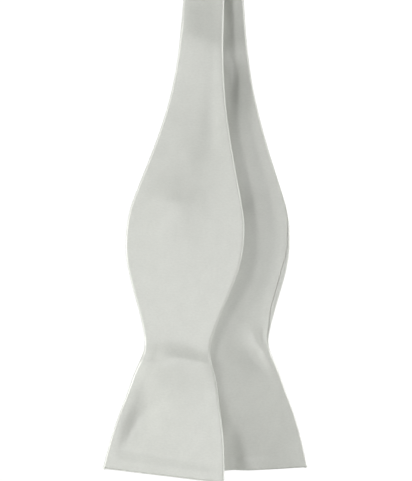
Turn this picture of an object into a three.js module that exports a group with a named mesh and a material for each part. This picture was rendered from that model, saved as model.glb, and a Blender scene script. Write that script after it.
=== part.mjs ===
// A self-tie bow tie, untied, hanging by the middle of its neckband with both ends down.
// Each half is one bow end and half of the neckband: two satin panels sewn round the edge and turned.
// A panel is two solids, its bow end and its neckband, which meet where the band's even width begins.
// The halves are sewn together at the centre back, which is the crest of the fold.
// Units are millimetres. X runs to the viewer's right, Y away from the viewer and Z up.
// The origin is the underside of the fold's crest, where the band rests on a rod.

import * as THREE from "three";

// Cloth
const panelWall = 1.0; // satin with its half of the interlining
const panelGap = 0.3; // between the two panels of a half
const edgeWall = 0.35; // what is left of the wall at the turned edge
const edgeInset = 1.5; // how far in from the edge the wall is full
const clothThickness = 2 * panelWall + panelGap;

// Tie
const halfLength = 465; // centre back to tip, along the cloth
const centreGap = 0.3; // between the two halves at the centre back
const bandStart = 264; // from the tip to where the bow end meets its neckband
const bandGap = 0.3; // between those two
const seamAhead = 0.6; // how far the centre back lies in front of the fold's crest
const rodRadius = 6; // of the rod that the band hangs on
const foldRadius = rodRadius + clothThickness / 2; // to the middle of the cloth
const quarterFold = (Math.PI / 2) * foldRadius; // cloth from the crest to where it hangs

// Outline of a bow end, the same for both halves.
const outline = [
  { place: "tip", fromTip: 0, halfWidth: 32.2 },
  { place: "tip flare", fromTip: 17.5, halfWidth: 30.3 },
  { place: "flare", fromTip: 30.5, halfWidth: 27.8 },
  { place: "flare", fromTip: 43.6, halfWidth: 24.1 },
  { place: "above flare", fromTip: 57, halfWidth: 20.0 },
  { place: "waist", fromTip: 69, halfWidth: 16.9 },
  { place: "below bulge", fromTip: 76.5, halfWidth: 17.9 },
  { place: "below bulge", fromTip: 89.5, halfWidth: 21.9 },
  { place: "lower bulge", fromTip: 103, halfWidth: 26.6 },
  { place: "lower bulge", fromTip: 116, halfWidth: 30.5 },
  { place: "bulge", fromTip: 130, halfWidth: 31.8 },
  { place: "upper bulge", fromTip: 142, halfWidth: 30.8 },
  { place: "shoulder", fromTip: 155, halfWidth: 27.8 },
  { place: "shoulder", fromTip: 181, halfWidth: 20.5 },
  { place: "neck taper", fromTip: 207, halfWidth: 14.6 },
  { place: "neck taper", fromTip: 228, halfWidth: 12.1 },
  { place: "band start", fromTip: 260, halfWidth: 10.5 },
  { place: "band", fromTip: 300, halfWidth: 9.75 },
  { place: "band", fromTip: 380, halfWidth: 9.75 },
  { place: "centre back", fromTip: halfLength, halfWidth: 9.75 },
];

// Path of each half's centre line, from where it leaves the fold down to the tip.
// sideways is X, outwards is the distance from the rod's own plane, and twist turns the
// face that the viewer sees towards the viewer's right, in degrees.
const frontPath = [
  { fromFold: 0, sideways: 0, outwards: foldRadius, twist: 0 },
  { fromFold: 26, sideways: 0, outwards: 7.05, twist: 0 },
  { fromFold: 80, sideways: -0.4, outwards: 6.3, twist: 0 },
  { fromFold: 140, sideways: -2.3, outwards: 4.6, twist: -1 },
  { fromFold: 205, sideways: -5.2, outwards: 2.8, twist: -1.5 },
  { fromFold: 258, sideways: -8.6, outwards: 2.7, twist: 0 },
  { fromFold: 310, sideways: -13.2, outwards: 3.0, twist: 1 },
  { fromFold: 336, sideways: -15.7, outwards: 2.9, twist: 1 },
  { fromFold: 389, sideways: -19.7, outwards: 2.3, twist: 0 },
  { fromFold: 415, sideways: -21.8, outwards: 2.1, twist: 0 },
  { fromFold: 441, sideways: -24.2, outwards: 3.0, twist: -1 },
  { fromFold: halfLength, sideways: -26.4, outwards: 4.6, twist: -3 },
];
const rearPath = [
  { fromFold: 0, sideways: 0, outwards: foldRadius, twist: 0 },
  { fromFold: 26, sideways: 0, outwards: 7.05, twist: 0 },
  { fromFold: 80, sideways: 0.5, outwards: 6.4, twist: -1 },
  { fromFold: 140, sideways: 2.4, outwards: 4.8, twist: -3 },
  { fromFold: 205, sideways: 4.7, outwards: 3.3, twist: -4 },
  { fromFold: 258, sideways: 6.9, outwards: 3.4, twist: 1 },
  { fromFold: 310, sideways: 8.6, outwards: 3.7, twist: 5.5 },
  { fromFold: 349, sideways: 10.1, outwards: 3.6, twist: 7 },
  { fromFold: 375, sideways: 11.4, outwards: 3.1, twist: 8 },
  { fromFold: 402, sideways: 12.8, outwards: 2.9, twist: 9 },
  { fromFold: 425, sideways: 14.6, outwards: 3.5, twist: 9 },
  { fromFold: 441, sideways: 15.9, outwards: 4.9, twist: 8.5 },
  { fromFold: halfLength, sideways: 18.0, outwards: 7.4, twist: 7 },
];

// Creases and swells of each half. fromTip and across place the middle of one, reach is its
// size along the crease, above and below are its breadths on either side of it, turn is its
// slope down to the right in degrees, and rise is how far it stands towards the viewer, or
// away where it is negative.
const creaseSoftness = 0.5; // 0 is a sharp crease
const frontFolds = [
  { name: "bulge end", fromTip: 147.4, across: -8, reach: 11.5, above: 9, below: 26, turn: 3, rise: 2.0 },
  { name: "neck right", fromTip: 188, across: 8.5, reach: 20, above: 5.5, below: 11, turn: 88, rise: -1.8 },
  { name: "waist right", fromTip: 64, across: 8.5, reach: 7, above: 3.2, below: 12, turn: 22, rise: 1.7 },
  { name: "waist middle", fromTip: 64.5, across: -2, reach: 7, above: 5.5, below: 14, turn: 0, rise: 1.2 },
  { name: "waist left", fromTip: 62.5, across: -12.5, reach: 6, above: 4, below: 16, turn: -25, rise: 1.3 },
  { name: "flare left", fromTip: 31, across: -16, reach: 19, above: 5, below: 20, turn: -68, rise: -1.9 },
  { name: "band", fromTip: 231, across: 0.4, reach: 9, above: 6, below: 12, turn: 20, rise: 1.0 },
];
const rearFolds = [
  { name: "bulge right", fromTip: 130, across: 30, reach: 30, above: 6, below: 10, turn: 90, rise: 1.4 },
  { name: "band hollow", fromTip: 211, across: 3.5, reach: 9, above: 6, below: 5, turn: 90, rise: -2.0 },
  { name: "shoulder hollow", fromTip: 153, across: 7, reach: 8, above: 6, below: 6, turn: 90, rise: -1.2 },
  { name: "waist ridge", fromTip: 69, across: 12, reach: 7.5, above: 2, below: 4, turn: 62, rise: 1.4 },
  { name: "flare right", fromTip: 30, across: 17, reach: 14, above: 6, below: 10, turn: 75, rise: -1.2 },
  { name: "flare left", fromTip: 48, across: -29, reach: 32, above: 9, below: 20, turn: 90, rise: -3.4 },
  { name: "flare corner", fromTip: 6, across: -8, reach: 12, above: 4, below: 8, turn: 90, rise: -2.4 },
];

const frontHalf = { side: -1, seamFromCrest: seamAhead, path: frontPath, folds: frontFolds };
const rearHalf = { side: 1, seamFromCrest: -seamAhead, path: rearPath, folds: rearFolds };

// Sections along the two stretches of a half, as distances from the tip, closer together where
// the outline or a fold needs them.
const crestSections = 6; // round each side of the fold's crest
const bowEnd = {
  from: 0,
  zones: [
    { to: edgeInset, step: edgeInset / 2 },
    { to: 54, step: 6.5 },
    { to: 84, step: 3.5 },
    { to: 220, step: 7 },
    { to: bandStart - bandGap / 2, step: 13 },
  ],
};
const neckband = {
  from: bandStart + bandGap / 2,
  zones: [
    { to: halfLength - quarterFold, step: 13 },
    { to: halfLength - centreGap / 2, step: quarterFold / crestSections },
  ],
};
const innerColumns = 3; // on each side of the centre line, inside the edge column

// A natural cubic spline through one column of a table.
function smoothColumn(rows, key, column) {
  const at = rows.map((row) => row[key]);
  const value = rows.map((row) => row[column]);
  const last = at.length - 1;
  const bend = new Array(last + 1).fill(0);
  const carry = new Array(last + 1).fill(0);
  for (let i = 1; i < last; i++) {
    const before = at[i] - at[i - 1];
    const after = at[i + 1] - at[i];
    const kink = (value[i + 1] - value[i]) / after - (value[i] - value[i - 1]) / before;
    const pivot = 2 * (before + after) - before * carry[i - 1];
    carry[i] = after / pivot;
    bend[i] = (6 * kink - before * bend[i - 1]) / pivot;
  }
  for (let i = last - 1; i > 0; i--) bend[i] -= carry[i] * bend[i + 1];
  return (x) => {
    let i = 0;
    while (i < last - 1 && x > at[i + 1]) i++;
    const span = at[i + 1] - at[i];
    const far = (x - at[i]) / span;
    const near = 1 - far;
    const curve = (near ** 3 - near) * bend[i] + (far ** 3 - far) * bend[i + 1];
    return near * value[i] + far * value[i + 1] + (curve * span * span) / 6;
  };
}

const halfWidthAt = smoothColumn(outline, "fromTip", "halfWidth");

// The centre line of a half, with its true length kept: the drop of each step is what the
// sideways and outwards moves leave of it.
function hangHalf(half) {
  const sideways = smoothColumn(half.path, "fromFold", "sideways");
  const outwards = smoothColumn(half.path, "fromFold", "outwards");
  const twist = smoothColumn(half.path, "fromFold", "twist");
  const step = 1;
  const slope = (curve, at) => (curve(at + step / 2) - curve(at - step / 2)) / step;
  const drop = (at) => Math.sqrt(1 - slope(sideways, at) ** 2 - slope(outwards, at) ** 2);
  const levels = [clothThickness / 2 - foldRadius];
  for (let s = quarterFold; s < halfLength + half.seamFromCrest; s += step)
    levels.push(levels[levels.length - 1] - step * drop(s + step / 2));
  const levelAt = (fromFold) => {
    const place = (fromFold - quarterFold) / step;
    const i = Math.min(Math.floor(place), levels.length - 2);
    return levels[i] + (levels[i + 1] - levels[i]) * (place - i);
  };
  return (fromFold) => {
    const centre = new THREE.Vector3();
    const along = new THREE.Vector3();
    if (fromFold < quarterFold) {
      const turn = fromFold / foldRadius;
      centre.set(0, half.side * foldRadius * Math.sin(turn), foldRadius * Math.cos(turn) - rodRadius);
      along.set(0, half.side * Math.cos(turn), -Math.sin(turn));
    } else {
      centre.set(sideways(fromFold), half.side * outwards(fromFold), levelAt(fromFold));
      along.set(slope(sideways, fromFold), half.side * slope(outwards, fromFold), -drop(fromFold));
      along.normalize();
    }
    const across = new THREE.Vector3(1, 0, 0);
    across.addScaledVector(along, -across.dot(along)).normalize();
    if (fromFold >= quarterFold)
      across.applyAxisAngle(along, -THREE.MathUtils.degToRad(twist(fromFold)));
    const outward = across.clone().cross(along).multiplyScalar(half.side);
    return { centre, across, outward };
  };
}

// How far the creases and swells move the cloth outwards at one place.
function reliefAt(half, fromTip, across) {
  let total = 0;
  for (const fold of half.folds) {
    const turn = THREE.MathUtils.degToRad(fold.turn);
    const right = across - fold.across;
    const down = fold.fromTip - fromTip;
    const u = (right * Math.cos(turn) + down * Math.sin(turn)) / fold.reach;
    const offCrease = down * Math.cos(turn) - right * Math.sin(turn);
    const v = offCrease / (offCrease > 0 ? fold.below : fold.above);
    const ridge = Math.exp(creaseSoftness - Math.hypot(creaseSoftness, v));
    total += fold.rise * Math.exp((-u * u) / 2) * ridge;
  }
  return -half.side * total;
}

// Distances from the tip at which a stretch has a section.
function sectionPlaces(stretch) {
  const places = [stretch.from];
  for (const zone of stretch.zones) {
    const from = places[places.length - 1];
    const count = Math.round((zone.to - from) / zone.step);
    for (let i = 1; i <= count; i++) places.push(from + ((zone.to - from) * i) / count);
  }
  return places;
}

// Places across a section: the two edges, and even columns between the full walls.
function columnPlaces(halfWidth) {
  const full = halfWidth - edgeInset;
  const places = [-halfWidth];
  for (let i = -innerColumns; i <= innerColumns; i++) places.push((full * i) / innerColumns);
  places.push(halfWidth);
  return places;
}

// The wall thins in a quarter round over the last edgeInset before an edge.
function wallAt(toEdge) {
  const inFrom = Math.min(toEdge / edgeInset, 1);
  return edgeWall + (panelWall - edgeWall) * Math.sqrt(1 - (1 - inFrom) ** 2);
}

// One stretch of a panel, as a closed wall. face is 1 for the outer panel, which is away from
// the rod, and -1 for the inner one.
function panelGeometry(half, face, stretch) {
  const frameAt = hangHalf(half);
  const sections = sectionPlaces(stretch);
  const columns = 2 * innerColumns + 3;
  const positions = [];
  for (const skin of [0, 1]) {
    for (const fromTip of sections) {
      const { centre, across, outward } = frameAt(halfLength - fromTip + half.seamFromCrest);
      const halfWidth = halfWidthAt(fromTip);
      for (const w of columnPlaces(halfWidth)) {
        const toEdge = Math.min(halfWidth - Math.abs(w), fromTip);
        const offset = face * (panelGap / 2 + skin * wallAt(toEdge)) + reliefAt(half, fromTip, w);
        const point = centre.clone().addScaledVector(across, w).addScaledVector(outward, offset);
        positions.push(point.x, point.y, point.z);
      }
    }
  }
  const skinSize = sections.length * columns;
  const vertex = (skin, row, column) => skin * skinSize + row * columns + column;
  const triangles = [];
  const flip = face * half.side > 0;
  const quad = (a, b, c, d) => {
    if (flip) triangles.push(a, c, b, a, d, c);
    else triangles.push(a, b, c, a, c, d);
  };
  const tail = sections.length - 1;
  const side = columns - 1;
  for (let r = 0; r < tail; r++) {
    for (let c = 0; c < side; c++) {
      quad(vertex(1, r, c), vertex(1, r, c + 1), vertex(1, r + 1, c + 1), vertex(1, r + 1, c));
      quad(vertex(0, r, c), vertex(0, r + 1, c), vertex(0, r + 1, c + 1), vertex(0, r, c + 1));
    }
    quad(vertex(0, r, 0), vertex(1, r, 0), vertex(1, r + 1, 0), vertex(0, r + 1, 0));
    quad(vertex(0, r + 1, side), vertex(1, r + 1, side), vertex(1, r, side), vertex(0, r, side));
  }
  for (let c = 0; c < side; c++) {
    quad(vertex(0, 0, c + 1), vertex(1, 0, c + 1), vertex(1, 0, c), vertex(0, 0, c));
    quad(vertex(0, tail, c), vertex(1, tail, c), vertex(1, tail, c + 1), vertex(0, tail, c + 1));
  }
  const geometry = new THREE.BufferGeometry();
  geometry.setAttribute("position", new THREE.Float32BufferAttribute(positions, 3));
  geometry.setIndex(triangles);
  geometry.computeVertexNormals();
  return geometry;
}

const satinLook = { color: 0xd3d5cd, roughness: 0.42, metalness: 0 };
const satin = new THREE.MeshStandardMaterial(satinLook);

function panel(name, half, face, stretch) {
  const mesh = new THREE.Mesh(panelGeometry(half, face, stretch), satin);
  mesh.name = name;
  return mesh;
}

const frontGroup = new THREE.Group();
frontGroup.add(panel("front_bow_end_outer_panel", frontHalf, 1, bowEnd));
frontGroup.add(panel("front_bow_end_inner_panel", frontHalf, -1, bowEnd));
frontGroup.add(panel("front_neckband_outer_panel", frontHalf, 1, neckband));
frontGroup.add(panel("front_neckband_inner_panel", frontHalf, -1, neckband));

const rearGroup = new THREE.Group();
rearGroup.add(panel("rear_bow_end_outer_panel", rearHalf, 1, bowEnd));
rearGroup.add(panel("rear_bow_end_inner_panel", rearHalf, -1, bowEnd));
rearGroup.add(panel("rear_neckband_outer_panel", rearHalf, 1, neckband));
rearGroup.add(panel("rear_neckband_inner_panel", rearHalf, -1, neckband));

const bowTie = new THREE.Group();
bowTie.add(frontGroup, rearGroup);

export default bowTie;
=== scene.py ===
import math

import bpy
from mathutils import Matrix, Vector, noise


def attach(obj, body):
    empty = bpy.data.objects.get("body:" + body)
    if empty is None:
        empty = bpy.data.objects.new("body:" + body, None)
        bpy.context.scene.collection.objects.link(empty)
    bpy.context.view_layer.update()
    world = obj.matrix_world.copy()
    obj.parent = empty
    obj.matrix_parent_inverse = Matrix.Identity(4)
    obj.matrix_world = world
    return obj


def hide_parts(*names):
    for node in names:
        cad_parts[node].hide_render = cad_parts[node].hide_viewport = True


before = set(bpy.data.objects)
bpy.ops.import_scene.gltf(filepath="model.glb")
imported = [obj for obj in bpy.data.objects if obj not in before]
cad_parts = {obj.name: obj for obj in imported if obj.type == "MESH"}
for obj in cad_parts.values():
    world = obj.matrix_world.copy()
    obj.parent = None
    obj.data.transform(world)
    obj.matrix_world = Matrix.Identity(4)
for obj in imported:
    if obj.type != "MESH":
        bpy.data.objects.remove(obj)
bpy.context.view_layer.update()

# A self-tie bow tie that hangs folded over at the middle of its neckband, both ends down.
# Metres, Z up, X to the viewer's right, Y away from the viewer.

print("frame loaded:", sorted(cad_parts))

# what the tie measures
tie = {
    "halfLength": 0.465,         # centre back to tip, along the cloth
    "halfThickness": 0.00115,    # middle of a half to the face of its satin
    "satinWall": 0.00045,        # the satin itself
    "edgeInset": 0.0015,         # where the edge starts to round over
    "centreGap": 0.0003,         # between the halves at the centre back
    "seamAhead": 0.0006,         # the centre back lies this far in front of the fold's crest
    "rodRadius": 0.006,          # the fold goes round this
    "allowance": 0.0064,         # seam allowance folded in behind the satin
    "tipRoll": 0.0014,           # how far the tip's seam is rolled up onto the seen face
    "leftRoll": 0.0002,          # the same on a half's left edge
    "slantReach": 0.030,         # how far from the tip its slant is eased out
    "cornerSquare": 0.369,       # 0 is a round tip corner, 0.414 a square one
}
# radius of a half's middle on the rod, its quarter turn there, and the satin's round the edge
foldRadius = tie["rodRadius"] + tie["halfThickness"]
quarterFold = math.pi / 2 * foldRadius
edgeArc = math.pi / 2 * math.sqrt((tie["edgeInset"] ** 2 + tie["halfThickness"] ** 2) / 2)

# distance from the tip, half width
outline = [
    (0.0, 0.0333), (0.0175, 0.0309), (0.0305, 0.02825), (0.0436, 0.0249), (0.057, 0.0214),
    (0.069, 0.0179), (0.0765, 0.0187), (0.0895, 0.0225), (0.103, 0.0271), (0.116, 0.0308),
    (0.130, 0.0321), (0.142, 0.0312), (0.155, 0.02795), (0.181, 0.0206), (0.207, 0.0149),
    (0.228, 0.01235), (0.260, 0.0111), (0.300, 0.0100), (0.380, 0.00975), (0.465, 0.00975),
]

# distance down from the fold, sideways, out from the rod, twist in degrees
frontPath = [
    (0.0, 0.0, foldRadius, 0), (0.026, 0.0, 0.00705, 0), (0.080, -0.0004, 0.0063, 0),
    (0.140, -0.0024, 0.0046, -1), (0.205, -0.0056, 0.0028, -1.5), (0.258, -0.00885, 0.0027, 0),
    (0.310, -0.0135, 0.0030, 1), (0.336, -0.0160, 0.0029, 1), (0.389, -0.0197, 0.0023, 0),
    (0.415, -0.02165, 0.0021, 0), (0.441, -0.0245, 0.0030, -1), (0.465, -0.0276, 0.0046, -3),
]
rearPath = [
    (0.0, 0.0, foldRadius, 0), (0.026, 0.0, 0.00705, 0), (0.080, 0.0005, 0.0064, -1),
    (0.140, 0.0025, 0.0048, -3), (0.205, 0.00505, 0.0033, -4), (0.258, 0.0072, 0.0034, 1),
    (0.310, 0.0088, 0.0037, 5.5), (0.349, 0.0103, 0.0036, 7), (0.375, 0.0115, 0.0031, 8),
    (0.402, 0.0129, 0.0029, 9), (0.425, 0.0152, 0.0035, 9), (0.441, 0.0170, 0.0049, 8.5),
    (0.465, 0.0187, 0.0074, 7),
]

# creases and swells of a half: distance from the tip, across, reach along the crease, breadth
# above and below it, its slope down to the right in degrees, rise towards the viewer
# at 90 degrees a crease runs straight down, with its first breadth on its right
frontFolds = [
    (0.1120, -0.0010, 0.0170, 0.0300, 0.0300, 0, 0.0003),     # bulge
    (0.1474, -0.0105, 0.0105, 0.0090, 0.0260, 3, 0.0020),     # bulge, its upper end
    (0.1900, 0.0085, 0.0190, 0.0065, 0.0090, 88, -0.0017),    # neck, down the right
    (0.0645, -0.0040, 0.0080, 0.0045, 0.0160, 4, 0.0028),     # waist, middle
    (0.0636, 0.0115, 0.0100, 0.0027, 0.0160, 9, 0.0023),      # waist, right
    (0.0606, -0.0150, 0.0075, 0.0032, 0.0160, 3, 0.0022),     # waist, left
    (0.0215, -0.0198, 0.0130, 0.0052, 0.0120, -72, -0.0020),  # flare, inside the left edge
    (0.0325, -0.0125, 0.0110, 0.0100, 0.0110, -74, -0.0028),  # flare, the soft side of that
    (0.0102, -0.0040, 0.0240, 0.0025, 0.0015, 1, -0.0005),    # flare, above the tip's seam
    (0.2375, -0.0015, 0.0120, 0.0090, 0.0220, 16, 0.0026),    # band
    (0.2480, -0.0075, 0.0060, 0.0120, 0.0200, 20, 0.0026),    # band, higher and further left
]
rearFolds = [
    (0.1300, 0.0300, 0.0300, 0.0060, 0.0100, 90, 0.0014),     # bulge, curled forward at the right
    (0.2640, 0.0052, 0.0130, 0.0030, 0.0030, 90, 0.0017),     # band, forward at the photo's top
    (0.2320, 0.0045, 0.0070, 0.0040, 0.0060, 90, 0.0008),     # band, forward
    (0.2130, 0.0030, 0.0100, 0.0065, 0.0050, 90, -0.0030),    # band, back
    (0.1530, 0.0070, 0.0080, 0.0060, 0.0060, 90, -0.0012),    # shoulder
    (0.0735, 0.0138, 0.0055, 0.0016, 0.0022, -84, -0.0009),   # dimple beside the waist
    (0.0625, 0.0155, 0.0105, 0.0018, 0.0045, 65, 0.0014),     # ridge beside the dimple
    (0.0610, 0.0095, 0.0100, 0.0040, 0.0100, 50, -0.0018),    # flare, its slanting upper crease
    (0.0310, 0.0300, 0.0180, 0.0060, 0.0180, 90, -0.0046),    # flare, turned back at the right
    (0.0480, -0.0290, 0.0320, 0.0090, 0.0200, 90, -0.0034),   # flare, behind the front half
    (0.0400, -0.0095, 0.0140, 0.0110, 0.0050, 90, 0.0020),    # flare, forward at the front half's edge
    (0.0060, -0.0080, 0.0120, 0.0040, 0.0080, 90, -0.0031),   # flare, bottom left
]

# distance from the tip, how far the seam is rolled off the right edge onto the seen face
frontRoll = [
    (0.0, 0.0002), (0.02, 0.0004), (0.055, 0.0012), (0.08, 0.0009), (0.14, 0.0006), (0.465, 0.0004),
]
rearRoll = [
    (0.0, 0.0002), (0.03, 0.0003), (0.062, 0.0006), (0.076, 0.0018), (0.092, 0.0036),
    (0.108, 0.0036), (0.125, 0.0024), (0.145, 0.0014), (0.20, 0.0006), (0.465, 0.0004),
]

# side is -1 in front of the rod and 1 behind it
# slant is how much longer a half is on its right than in its middle, for each metre across
frontHalf = {
    "side": -1, "ahead": tie["seamAhead"], "path": frontPath, "folds": frontFolds,
    "roll": frontRoll, "slant": -0.020, "seed": 3.0,
}
rearHalf = {
    "side": 1, "ahead": -tie["seamAhead"], "path": rearPath, "folds": rearFolds,
    "roll": rearRoll, "slant": 0.038, "seed": 11.0,
}


def smoothColumn(rows, column):
    # natural cubic spline through one column of a table, by its first column
    at = [row[0] for row in rows]
    value = [row[column] for row in rows]
    last = len(at) - 1
    bend = [0.0] * (last + 1)
    carry = [0.0] * (last + 1)
    for i in range(1, last):
        before, after = at[i] - at[i - 1], at[i + 1] - at[i]
        kink = (value[i + 1] - value[i]) / after - (value[i] - value[i - 1]) / before
        pivot = 2 * (before + after) - before * carry[i - 1]
        carry[i] = after / pivot
        bend[i] = (6 * kink - before * bend[i - 1]) / pivot
    for i in range(last - 1, 0, -1):
        bend[i] -= carry[i] * bend[i + 1]

    def curve(x):
        i = 0
        while i < last - 1 and x > at[i + 1]:
            i += 1
        span = at[i + 1] - at[i]
        far = (x - at[i]) / span
        near = 1 - far
        swing = (near ** 3 - near) * bend[i] + (far ** 3 - far) * bend[i + 1]
        return near * value[i] + far * value[i + 1] + swing * span * span / 6

    return curve


def easeStep(x):
    x = min(max(x, 0.0), 1.0)
    return x * x * (3 - 2 * x)


def steadyColumn(rows, column):
    # straight between rows with eased corners, for values that must not overshoot
    def curve(x):
        if x <= rows[0][0]:
            return rows[0][column]
        for a, b in zip(rows, rows[1:]):
            if x <= b[0]:
                return a[column] + (b[column] - a[column]) * easeStep((x - a[0]) / (b[0] - a[0]))
        return rows[-1][column]

    return curve


halfWidthAt = smoothColumn(outline, 1)

# what a panel measures laid flat, without its seam allowance, its area summed in 1 mm strips
strips = 465
stripLength = tie["halfLength"] / strips
flatArea = sum(2 * halfWidthAt((i + 0.5) * stripLength) * stripLength for i in range(strips))

pathStep = 0.001   # how finely a half's hang is summed along its cloth


def hangHalf(half):
    # where the middle of a half is at each distance from the tip, with its true length kept
    sideways = smoothColumn(half["path"], 1)
    outwards = smoothColumn(half["path"], 2)
    twist = smoothColumn(half["path"], 3)
    side = half["side"]

    def slope(curve, at):
        return (curve(at + pathStep / 2) - curve(at - pathStep / 2)) / pathStep

    def drop(at):
        # how far down the cloth goes for each metre of it
        return math.sqrt(1 - slope(sideways, at) ** 2 - slope(outwards, at) ** 2)

    # heights from the end of the quarter turn down
    levels = [tie["halfThickness"] - foldRadius]
    count = int((tie["halfLength"] + half["ahead"] - quarterFold) / pathStep) + 1
    for i in range(count):
        levels.append(levels[-1] - pathStep * drop(quarterFold + (i + 0.5) * pathStep))

    def roundRod(fromFold):
        turn = fromFold / foldRadius
        out, up = math.sin(turn), math.cos(turn)
        centre = Vector((0, side * foldRadius * out, foldRadius * up - tie["rodRadius"]))
        return centre, Vector((0, side * up, -out))

    def belowRod(fromFold):
        place = (fromFold - quarterFold) / pathStep
        i = min(int(place), len(levels) - 2)
        level = levels[i] + (levels[i + 1] - levels[i]) * (place - i)
        centre = Vector((sideways(fromFold), side * outwards(fromFold), level))
        along = Vector((slope(sideways, fromFold), side * slope(outwards, fromFold), -drop(fromFold)))
        return centre, along.normalized()

    def frameAt(fromTip):
        # the middle of the half, the direction across it and the one out from the rod
        fromFold = tie["halfLength"] - fromTip + half["ahead"]
        onRod = fromFold < quarterFold
        centre, along = roundRod(fromFold) if onRod else belowRod(fromFold)
        across = Vector((1, 0, 0))
        across = (across - along * across.dot(along)).normalized()
        if not onRod:
            across = Matrix.Rotation(-math.radians(twist(fromFold)), 3, along) @ across
        return centre, across, across.cross(along) * side

    return frameAt


# relief of the cloth
cloth = {
    "creaseSoft": 0.5,           # 0 is a sharp crease
    "swell": 0.00022,            # slow unevenness of the whole cloth
    "swellSize": 0.024,
    "mottle": 0.00010,           # the same, finer
    "mottleSize": 0.0075,
    "swellStretch": 0.6,         # below 1, both are longer along the cloth than across it
    "allowanceStep": 0.00030,    # how much the allowance lifts the satin, most at the flare
    "allowanceBlur": 0.0022,
    "allowanceShare": 0.34,      # the allowance takes at most this much of the half width
    "fadeFrom": 0.05,            # from here up the tie the step fades
    "fadeOver": 0.06,
    "fadeBy": 0.7,
    "pucker": 0.00007,           # ripples along the seam
    "puckerReach": 0.0035,
}
# the seam's ripples: strength, length, and what sets the noise of the sides and of each ripple apart
ripples = [(1.0, 0.0042, 7.3, 0), (0.6, 0.0095, 3.1, 5)]
faceSeed = 20        # sets the ripples of a half's two panels apart
seedSpacing = 0.1    # metres between the swells of one seed and of the next


def foldHeight(folds, fromTip, across):
    # how far a half's creases bring it towards the viewer
    total = 0.0
    for along, middle, reach, above, below, turn, rise in folds:
        level, tilt = math.cos(math.radians(turn)), math.sin(math.radians(turn))
        right, down = across - middle, along - fromTip
        u = (right * level + down * tilt) / reach
        v = down * level - right * tilt
        v /= below if v > 0 else above
        fall = cloth["creaseSoft"] - math.sqrt(cloth["creaseSoft"] ** 2 + v * v)
        total += rise * math.exp(-u * u / 2) * math.exp(fall)
    return total


def swellHeight(half, fromTip, across):
    # the same for its slow unevenness
    spot = Vector((across, fromTip * cloth["swellStretch"], half["seed"] * seedSpacing))
    fine = cloth["mottle"] * noise.noise(spot / cloth["mottleSize"])
    return cloth["swell"] * noise.noise(spot / cloth["swellSize"]) + fine


def satinRelief(half, face, fromTip, across):
    # small relief of one panel, away from the middle of the half
    toSide = halfWidthAt(fromTip) - abs(across)
    toEdge = min(toSide, fromTip)
    allowance = min(tie["allowance"], cloth["allowanceShare"] * halfWidthAt(fromTip))
    inside = easeStep((toEdge - allowance) / cloth["allowanceBlur"] + 0.5)
    fade = cloth["fadeBy"] * easeStep((fromTip - cloth["fadeFrom"]) / cloth["fadeOver"])
    step = cloth["allowanceStep"] * (1 - inside) * (1 - fade)

    run = fromTip if toSide < fromTip else across
    hand = 1.0 if across > 0 else -1.0
    seed = half["seed"] + faceSeed * face
    ripple = 0.0
    for strength, length, apart, shift in ripples:
        ripple += strength * noise.noise(Vector((run / length, hand * apart, seed + shift)))
    near = math.exp(-((toEdge - tie["edgeInset"]) / cloth["puckerReach"]) ** 2)
    return step + cloth["pucker"] * ripple * near


# the satin turns in at its seam
lip = {
    "width": 0.0005,
    "depth": 0.00045,
    "gap": 0.00002,              # between the two satins
    "least": 0.0007,             # a side's rings span at least this much cloth
}
# how finely a panel is divided
divisions = {
    "ringColumns": 10,           # round each side's edge
    "bodyColumns": 26,           # between them
    "ringRows": 9,               # round the tip's edge
    "crowding": 1.6,             # above 1, rings lie closer towards the seam
}
rowZones = [(0.090, 0.0011), (0.215, 0.0013), (0.450, 0.0018), (0.465, 0.0009)]   # up to, row spacing
uvSpan = 0.5             # metres of cloth that one unit of the UV map covers
uvStart = (0.5, 0.02)    # where the middle of the tip is on the map


def roundEdge(travel):
    # outward offset and height of a face that has travelled past the inset line, and its lean
    if travel <= 0:
        return travel, tie["halfThickness"], 0.0
    if travel >= 2 * edgeArc:
        return 2 * edgeArc - travel, -tie["halfThickness"], math.pi
    lean = travel / edgeArc * math.pi / 2
    return tie["edgeInset"] * math.sin(lean), tie["halfThickness"] * math.cos(lean), lean


def turnIn(toSeam):
    # how deep the satin has turned in, this near its seam
    if toSeam >= lip["width"]:
        return 0.0
    inward = 1 - max(toSeam, 0.0) / lip["width"]
    return lip["depth"] * (1 - math.sqrt(1 - inward ** 2))


def ringShare(fromSeam):
    # how far a ring has gone from the inset line to the seam, as fromSeam goes from 1 to 0
    return 1 - fromSeam ** divisions["crowding"]


def edgeAngle(sideShare, tipShare):
    # which way a vertex has gone past the inset line, 0 to the side and a quarter turn to the tip
    if tipShare > sideShare:
        return math.pi / 2 - math.pi / 4 * (sideShare / tipShare)
    return math.pi / 4 * (tipShare / sideShare) if sideShare > 0 else 0.0


def rowPlaces():
    # the rows of a panel from the tip's inset line to the centre back, by distance from the tip
    places = [tie["edgeInset"]]
    for end, spacing in rowZones:
        end = min(end, tie["halfLength"] - tie["centreGap"] / 2)
        start = places[-1]
        count = max(1, round((end - start) / spacing))
        places += [start + (end - start) * (i + 1) / count for i in range(count)]
    return places


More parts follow.
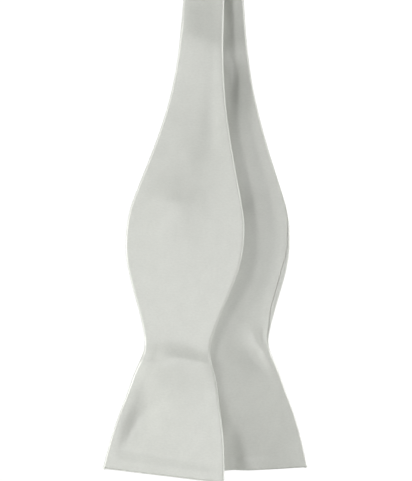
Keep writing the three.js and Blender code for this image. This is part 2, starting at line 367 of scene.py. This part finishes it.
def satinPanel(name, half, face):
    # face 1 is the panel away from the rod, -1 the one towards it
    frameAt = hangHalf(half)
    rollAt = steadyColumn(half["roll"], 1)
    seen = half["side"] * face < 0    # this panel faces the viewer
    longer = -1 if seen else 1        # the seam is rolled onto the seen face
    tipLength = edgeArc + longer * tie["tipRoll"]
    rings, body, tipRings = divisions["ringColumns"], divisions["bodyColumns"], divisions["ringRows"]
    places = rowPlaces()
    lastRow = tipRings + len(places) - 1
    lastColumn = 2 * rings + body

    def edgeCloth(fromTip, hand):
        # cloth between the inset line and the seam, on the side that hand names
        roll = rollAt(fromTip) if hand > 0 else tie["leftRoll"]
        return edgeArc + longer * roll - lip["gap"]

    def flatPlace(row, column):
        # a vertex of the panel before it hangs: from the tip, across, height, lean, place on the cloth
        fromTip = places[max(row - tipRings, 0)]
        hand = -1 if column < rings + body / 2 else 1
        ring = rings - column if hand < 0 else column - rings - body
        sideShare = ringShare(1 - ring / rings) if ring > 0 else 0.0
        tipShare = ringShare(row / tipRings) if row < tipRings else 0.0
        angle = edgeAngle(sideShare, tipShare)
        # exactly 0 or 1 on a plain side or tip, so the middle column stays in the middle
        toSide, toTip = math.sin(math.pi / 2 - angle), math.sin(angle)

        # where the seam is rolled far onto this face, its rings start early, in the flat part
        sideLength = edgeCloth(fromTip, hand)
        short = max(0.0, lip["least"] - sideLength)
        bodyEdge = halfWidthAt(fromTip) - tie["edgeInset"] - short
        across = hand * bodyEdge if ring > 0 else ((column - rings) / body * 2 - 1) * bodyEdge

        lead = short * toSide ** 2
        length = sideLength * toSide ** 2 + tipLength * toTip ** 2
        travel = max(sideShare, tipShare) * (length + lead) - lead
        clothPlace = (across + hand * (travel + lead) * toSide, fromTip - travel * toTip)
        reach, height, lean = roundEdge(travel)
        reach *= 1 + tie["cornerSquare"] * math.sin(2 * angle)
        depth = turnIn(length - travel)
        height -= depth * math.cos(lean)
        reach -= depth * math.sin(lean)
        across += hand * (reach * toSide + lead)
        fromTip -= reach * toTip
        fromTip -= half["slant"] * across * easeStep(1 - fromTip / tie["slantReach"])
        return fromTip, across, height, lean, clothPlace

    def hungPlace(fromTip, across, height, lean):
        # where that vertex is on the hanging tie
        toBack = tie["halfLength"] - tie["centreGap"] / 2 - fromTip
        height *= 1 - turnIn(toBack) / tie["halfThickness"]
        if height > 0 and lean < math.pi / 2:
            height += satinRelief(half, face, fromTip, across) * math.cos(lean)
        forward = foldHeight(half["folds"], fromTip, across) + swellHeight(half, fromTip, across)
        centre, acrossDirection, outward = frameAt(fromTip)
        return centre + acrossDirection * across + outward * (face * height - half["side"] * forward)

    bpy.ops.object.select_all(action="DESELECT")
    bpy.ops.mesh.primitive_grid_add(x_subdivisions=lastColumn, y_subdivisions=lastRow, size=1)
    piece = bpy.context.object
    piece.name = piece.data.name = name
    piece.location = (0, 0, 0)
    clothPlaces = []
    for row in range(lastRow + 1):
        for column in range(lastColumn + 1):
            fromTip, across, height, lean, clothPlace = flatPlace(row, column)
            vertex = piece.data.vertices[len(clothPlaces)]
            vertex.co = hungPlace(fromTip, across, height, lean)
            clothPlaces.append(clothPlace)

    # the cloth's own coordinates, for its weave
    uvLayer = piece.data.uv_layers.active or piece.data.uv_layers.new(name="UVMap")
    for loop in piece.data.loops:
        u, v = clothPlaces[loop.vertex_index]
        uvLayer.data[loop.index].uv = (uvStart[0] + u / uvSpan, uvStart[1] + v / uvSpan)
    if not seen:
        piece.data.flip_normals()
    piece.data.update()

    wall = piece.modifiers.new("wall", "SOLIDIFY")
    wall.thickness = tie["satinWall"]
    wall.offset = -1
    wall.use_rim = True
    bpy.context.view_layer.objects.active = piece
    piece.select_set(True)
    bpy.ops.object.modifier_apply(modifier=wall.name)
    bpy.ops.object.shade_smooth()
    return piece


# satin
satinLook = {
    "base": (0.775, 0.788, 0.738, 1),
    "shade": (0.605, 0.618, 0.574, 1),   # where its unevenness is at its lowest
    "roughness": 0.33,
    "glossSpread": 0.10,                 # how much the roughness varies from float to float
    "specular": 0.6,
    "anisotropy": 0.3,
    "sheen": 0.12,
    "sheenRoughness": 0.4,
    "slubShare": 0.55,                   # of the slubs in the colour, the rest is the patches
    "bumpStrength": 0.3,
    "bumpDepth": 0.00003,
}
# unevenness of the cloth: how many to a half metre across it and along it, detail of the noise
weave = {
    "patches": ((75, 55, 1), 5),         # slow patches
    "slubs": ((330, 560, 1), 2),         # thick places of the weft, which runs across
    "floats": ((1900, 210, 1), 3),       # floats of the weave, which run along the cloth
}


def satinMaterial():
    material = bpy.data.materials.new("palesatin")
    material.use_nodes = True
    nodes, links = material.node_tree.nodes, material.node_tree.links
    shader = nodes["Principled BSDF"]
    shader.inputs["Specular IOR Level"].default_value = satinLook["specular"]
    shader.inputs["Anisotropic"].default_value = satinLook["anisotropy"]
    shader.inputs["Sheen Weight"].default_value = satinLook["sheen"]
    shader.inputs["Sheen Roughness"].default_value = satinLook["sheenRoughness"]

    uv = nodes.new("ShaderNodeUVMap")
    uv.uv_map = "UVMap"
    grain = nodes.new("ShaderNodeTangent")
    grain.direction_type = "UV_MAP"
    grain.uv_map = "UVMap"
    links.new(grain.outputs["Tangent"], shader.inputs["Tangent"])

    def unevenness(counts, detail):
        # noise in the cloth's own coordinates
        spread = nodes.new("ShaderNodeMapping")
        spread.inputs["Scale"].default_value = counts
        links.new(uv.outputs["UV"], spread.inputs["Vector"])
        grains = nodes.new("ShaderNodeTexNoise")
        grains.inputs["Scale"].default_value = 1.0
        grains.inputs["Detail"].default_value = detail
        links.new(spread.outputs["Vector"], grains.inputs["Vector"])
        return grains.outputs["Fac"]

    patches = unevenness(*weave["patches"])
    slubs = unevenness(*weave["slubs"])
    floats = unevenness(*weave["floats"])

    both = nodes.new("ShaderNodeMix")
    both.inputs["Factor"].default_value = satinLook["slubShare"]
    links.new(patches, both.inputs["A"])
    links.new(slubs, both.inputs["B"])
    tint = nodes.new("ShaderNodeMix")
    tint.data_type = "RGBA"
    tint.inputs["A"].default_value = satinLook["shade"]
    tint.inputs["B"].default_value = satinLook["base"]
    links.new(both.outputs["Result"], tint.inputs["Factor"])
    links.new(tint.outputs["Result"], shader.inputs["Base Color"])

    gloss = nodes.new("ShaderNodeMapRange")
    gloss.inputs["To Min"].default_value = satinLook["roughness"] - satinLook["glossSpread"] / 2
    gloss.inputs["To Max"].default_value = satinLook["roughness"] + satinLook["glossSpread"] / 2
    links.new(floats, gloss.inputs["Value"])
    links.new(gloss.outputs["Result"], shader.inputs["Roughness"])
    bump = nodes.new("ShaderNodeBump")
    bump.inputs["Strength"].default_value = satinLook["bumpStrength"]
    bump.inputs["Distance"].default_value = satinLook["bumpDepth"]
    links.new(floats, bump.inputs["Height"])
    links.new(bump.outputs["Normal"], shader.inputs["Normal"])
    return material


satin = satinMaterial()
panels = [
    ("front_outer_satin", frontHalf, 1, "front_bow_end_outer_panel", "front_neckband_outer_panel"),
    ("front_inner_satin", frontHalf, -1, "front_bow_end_inner_panel", "front_neckband_inner_panel"),
    ("rear_inner_satin", rearHalf, -1, "rear_bow_end_inner_panel", "rear_neckband_inner_panel"),
    ("rear_outer_satin", rearHalf, 1, "rear_bow_end_outer_panel", "rear_neckband_outer_panel"),
]
for name, half, face, bowEnd, neckband in panels:
    piece = satinPanel(name, half, face)
    piece.data.materials.clear()
    piece.data.materials.append(satin)
    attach(piece, "root")
    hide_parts(bowEnd, neckband)
    print("panel made:", name, len(piece.data.polygons), "faces")

# camera: square on, 729 mm in front of the tie
photo = {
    "height": 481,                       # pixels
    "perPixel": 0.0005455,               # metres at the tie
    "lens": 100,                         # millimetres, as is the sensor
    "sensor": 36,                        # spans the photo's height
    "x": -0.00453,                       # the middle of the photo
    "z": -0.3314,
    "clipStart": 0.01,
}
distance = photo["lens"] / photo["sensor"] * photo["height"] * photo["perPixel"]
bpy.ops.object.camera_add(location=(photo["x"], -distance, photo["z"]), rotation=(math.pi / 2, 0, 0))
camera = bpy.context.object
camera.data.lens = photo["lens"]
camera.data.sensor_width = photo["sensor"]
camera.data.clip_start = photo["clipStart"]
bpy.context.scene.camera = camera

# a pale floor, below and out of the photo's view
ground = {
    "sides": 96,
    "radius": 1.2,
    "at": (0, 0, -0.95),
    "colour": (0.88, 0.88, 0.87, 1),
    "roughness": 0.9,
}
bpy.ops.mesh.primitive_circle_add(
    vertices=ground["sides"], radius=ground["radius"], fill_type="NGON", location=ground["at"])
floor = bpy.context.object
floor.name = "floor"
paper = bpy.data.materials.new("palefloor")
paper.use_nodes = True
paperShader = paper.node_tree.nodes["Principled BSDF"]
paperShader.inputs["Base Color"].default_value = ground["colour"]
paperShader.inputs["Roughness"].default_value = ground["roughness"]
floor.data.materials.append(paper)

# soft light: a box just behind the camera that the satin mirrors, two at each side, one behind the tie
bulge = (0, 0, -0.36)   # where all but the first are aimed
lights = {
    "front": {"at": (0.04, -0.75, -0.455), "size": (0.28, 0.47), "power": 1.335, "aim": (0.04, 0, -0.455)},
    "key": {"at": (-0.90, -0.79, 0.15), "size": (0.25, 0.3), "power": 4.65, "aim": bulge},
    "left": {"at": (-1.13, -0.41, -0.36), "size": (0.25, 0.4), "power": 10.1, "aim": bulge},
    "right": {"at": (1.15, -0.15, 0.15), "size": (0.5, 0.5), "power": 9.4, "aim": bulge},
    "rightBack": {"at": (1.15, 0.25, -0.35), "size": (0.5, 0.5), "power": 6.8, "aim": bulge},
    "behind": {"at": (0.35, 1.3, -0.15), "size": (0.8, 0.8), "power": 9.5, "aim": bulge},
}
for name, light in lights.items():
    bpy.ops.object.light_add(type="AREA", location=light["at"])
    lamp = bpy.context.object
    lamp.name = name
    lamp.data.shape = "RECTANGLE"
    lamp.data.size, lamp.data.size_y = light["size"]
    lamp.data.energy = light["power"]
    lamp.rotation_euler = (Vector(light["at"]) - Vector(light["aim"])).to_track_quat("Z", "Y").to_euler()

# white surroundings, dim for the tie and bright for the camera
surroundings = {"colour": (1, 1, 1, 1), "glow": 0.02, "backdrop": 1.05}
world = bpy.data.worlds.new("studio")
bpy.context.scene.world = world
world.use_nodes = True
nodes, links = world.node_tree.nodes, world.node_tree.links
glow = nodes["Background"]
glow.inputs["Color"].default_value = surroundings["colour"]
glow.inputs["Strength"].default_value = surroundings["glow"]
backdrop = nodes.new("ShaderNodeBackground")
backdrop.inputs["Color"].default_value = surroundings["colour"]
backdrop.inputs["Strength"].default_value = surroundings["backdrop"]
rays = nodes.new("ShaderNodeLightPath")
pick = nodes.new("ShaderNodeMixShader")
links.new(rays.outputs["Is Camera Ray"], pick.inputs["Fac"])
links.new(glow.outputs["Background"], pick.inputs[1])   # its two shaders share a name
links.new(backdrop.outputs["Background"], pick.inputs[2])
links.new(pick.outputs["Shader"], nodes["World Output"].inputs["Surface"])
bpy.context.scene.view_settings.view_transform = "Standard"
print("stage, lights and camera made")
